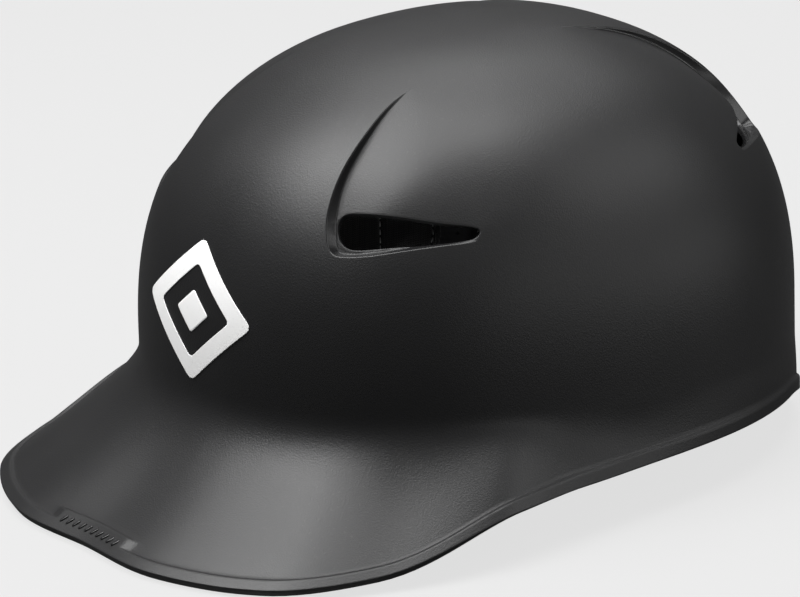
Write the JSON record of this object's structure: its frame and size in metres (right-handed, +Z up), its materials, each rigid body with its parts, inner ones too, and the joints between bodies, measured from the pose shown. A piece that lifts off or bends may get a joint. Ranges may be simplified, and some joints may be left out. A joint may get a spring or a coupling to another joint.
{
  "type": "batting helmet",
  "caption": "Skull-cap style baseball helmet: vented moulded shell with a brim, foam liner panels and wrapped comfort pads inside.",
  "frame": {"origin": "centre of the footprint on the surface that the helmet stands on, under its rim and brim", "axes": "+Z up through the crown, -Y forwards along the brim, +X to the wearer's left"},
  "size_m": [0.2196, 0.292, 0.1549],
  "materials": {
    "shell_plastic": "matte black moulded ABS with a fine grain and satin highlights",
    "emblem_vinyl": "flat white vinyl transfer",
    "liner_foam": "dark closed-cell foam with a fine skin",
    "pad_fabric": "black knitted moisture-wicking fabric over soft foam"
  },
  "bodies": {
    "root": {"shell": "shell_plastic", "emblem_ring": "emblem_vinyl", "emblem_heart": "emblem_vinyl", "front_liner": "liner_foam", "left_liner": "liner_foam", "right_liner": "liner_foam", "rear_left_liner": "liner_foam", "rear_right_liner": "liner_foam", "left_crown_liner": "liner_foam", "right_crown_liner": "liner_foam", "crown_spine_liner": "liner_foam", "forehead_pad": "pad_fabric", "left_side_pad": "pad_fabric", "right_side_pad": "pad_fabric", "nape_pad": "pad_fabric", "crown_pad": "pad_fabric"}
  },
  "joints": []
}
